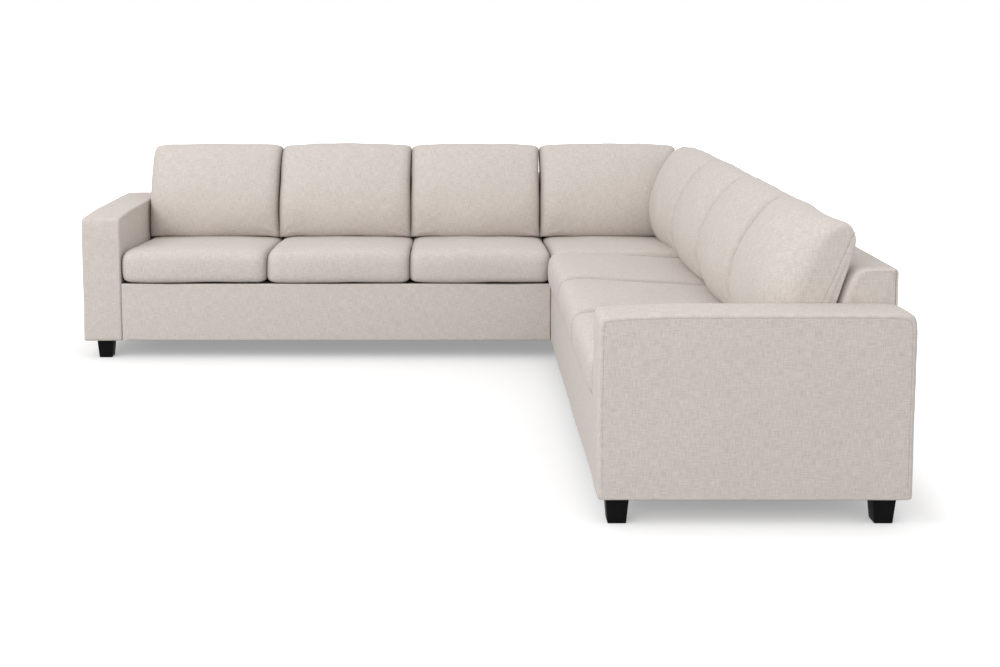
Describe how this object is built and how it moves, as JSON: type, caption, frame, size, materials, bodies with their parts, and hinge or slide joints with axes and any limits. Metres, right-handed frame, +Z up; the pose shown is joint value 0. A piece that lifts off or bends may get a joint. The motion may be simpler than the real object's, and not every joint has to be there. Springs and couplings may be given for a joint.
{
  "type": "corner sofa",
  "caption": "L-shaped corner sofa in woven fabric with loose seat and leaning back cushions, low slab arms, a plain front rail and short tapered legs.",
  "frame": {"origin": "on the floor, under the middle of the sofa's outline seen from above", "axes": "+Z up; the left run stands along the +Y side and faces -Y, the right run along the +X side and faces -X, so the corner seat is at +X and +Y"},
  "size_m": [2.95, 2.95, 0.8785],
  "materials": {
    "woven_cushion": "light greige slub weave",
    "woven_cover": "light greige slub weave, tightly upholstered",
    "deck_cloth": "dark platform cloth",
    "dust_cloth": "black non-woven cloth",
    "elastic_webbing": "elastic webbing",
    "timber": "unfinished softwood and board",
    "black_leg": "satin black",
    "zinc_steel": "zinc plated"
  },
  "bodies": {
    "frame": {"connector_bolts": "zinc_steel", "connector_nuts": "zinc_steel", "corner_back_posts": "timber", "corner_back_top_rails": "timber", "corner_cross_rails": "timber", "corner_dust_cover": "dust_cloth", "corner_legs": "black_leg", "corner_long_rails": "timber", "corner_rear_back_cover": "woven_cover", "corner_seat_deck": "deck_cloth", "corner_short_rails": "timber", "corner_side_back_cover": "woven_cover", "corner_webbing": "elastic_webbing", "left_arm_cover": "woven_cover", "left_arm_side_boards": "timber", "left_arm_top_board": "timber", "left_back_cover": "woven_cover", "left_back_posts": "timber", "left_back_top_rail": "timber", "left_cross_rails": "timber", "left_dust_cover": "dust_cloth", "left_front_cover": "woven_cover", "left_legs": "black_leg", "left_long_rails": "timber", "left_seat_deck": "deck_cloth", "left_short_rails": "timber", "left_webbing": "elastic_webbing", "leg_blocks": "timber", "leg_studs": "zinc_steel", "right_arm_cover": "woven_cover", "right_arm_side_boards": "timber", "right_arm_top_board": "timber", "right_back_cover": "woven_cover", "right_back_posts": "timber", "right_back_top_rail": "timber", "right_cross_rails": "timber", "right_dust_cover": "dust_cloth", "right_front_cover": "woven_cover", "right_legs": "black_leg", "right_long_rails": "timber", "right_seat_deck": "deck_cloth", "right_short_rails": "timber", "right_webbing": "elastic_webbing"},
    "corner_back_cushion_rear_body": {"corner_back_cushion_rear": "woven_cushion"},
    "corner_back_cushion_side_body": {"corner_back_cushion_side": "woven_cushion"},
    "corner_seat_cushion_body": {"corner_seat_cushion": "woven_cushion"},
    "left_back_cushion_1_body": {"left_back_cushion_1": "woven_cushion"},
    "left_back_cushion_2_body": {"left_back_cushion_2": "woven_cushion"},
    "left_back_cushion_3_body": {"left_back_cushion_3": "woven_cushion"},
    "left_seat_cushion_1_body": {"left_seat_cushion_1": "woven_cushion"},
    "left_seat_cushion_2_body": {"left_seat_cushion_2": "woven_cushion"},
    "left_seat_cushion_3_body": {"left_seat_cushion_3": "woven_cushion"},
    "right_back_cushion_1_body": {"right_back_cushion_1": "woven_cushion"},
    "right_back_cushion_2_body": {"right_back_cushion_2": "woven_cushion"},
    "right_back_cushion_3_body": {"right_back_cushion_3": "woven_cushion"},
    "right_seat_cushion_1_body": {"right_seat_cushion_1": "woven_cushion"},
    "right_seat_cushion_2_body": {"right_seat_cushion_2": "woven_cushion"},
    "right_seat_cushion_3_body": {"right_seat_cushion_3": "woven_cushion"}
  },
  "joints": [
    {"name": "left_seat_1_lift", "type": "slide", "parent": "frame", "child": "left_seat_cushion_1_body", "axis": [0, 0, 1], "range_m": [0, 0.56]},
    {"name": "left_back_1_lift", "type": "slide", "parent": "left_seat_cushion_1_body", "child": "left_back_cushion_1_body", "axis": [0, 0, 1], "range_m": [0, 0.45]},
    {"name": "left_seat_2_lift", "type": "slide", "parent": "frame", "child": "left_seat_cushion_2_body", "axis": [0, 0, 1], "range_m": [0, 0.56]},
    {"name": "left_back_2_lift", "type": "slide", "parent": "left_seat_cushion_2_body", "child": "left_back_cushion_2_body", "axis": [0, 0, 1], "range_m": [0, 0.45]},
    {"name": "left_seat_3_lift", "type": "slide", "parent": "frame", "child": "left_seat_cushion_3_body", "axis": [0, 0, 1], "range_m": [0, 0.56]},
    {"name": "left_back_3_lift", "type": "slide", "parent": "left_seat_cushion_3_body", "child": "left_back_cushion_3_body", "axis": [0, 0, 1], "range_m": [0, 0.45]},
    {"name": "right_seat_1_lift", "type": "slide", "parent": "frame", "child": "right_seat_cushion_1_body", "axis": [0, 0, 1], "range_m": [0, 0.56]},
    {"name": "right_back_1_lift", "type": "slide", "parent": "right_seat_cushion_1_body", "child": "right_back_cushion_1_body", "axis": [0, 0, 1], "range_m": [0, 0.45]},
    {"name": "right_seat_2_lift", "type": "slide", "parent": "frame", "child": "right_seat_cushion_2_body", "axis": [0, 0, 1], "range_m": [0, 0.56]},
    {"name": "right_back_2_lift", "type": "slide", "parent": "right_seat_cushion_2_body", "child": "right_back_cushion_2_body", "axis": [0, 0, 1], "range_m": [0, 0.45]},
    {"name": "right_seat_3_lift", "type": "slide", "parent": "frame", "child": "right_seat_cushion_3_body", "axis": [0, 0, 1], "range_m": [0, 0.56]},
    {"name": "right_back_3_lift", "type": "slide", "parent": "right_seat_cushion_3_body", "child": "right_back_cushion_3_body", "axis": [0, 0, 1], "range_m": [0, 0.45]},
    {"name": "corner_seat_lift", "type": "slide", "parent": "frame", "child": "corner_seat_cushion_body", "axis": [0, 0, 1], "range_m": [0, 0.56]},
    {"name": "corner_back_rear_lift", "type": "slide", "parent": "corner_seat_cushion_body", "child": "corner_back_cushion_rear_body", "axis": [0, 0, 1], "range_m": [0, 0.45]},
    {"name": "corner_back_side_lift", "type": "slide", "parent": "corner_back_cushion_rear_body", "child": "corner_back_cushion_side_body", "axis": [0, 0, 1], "range_m": [0, 0.45]}
  ]
}
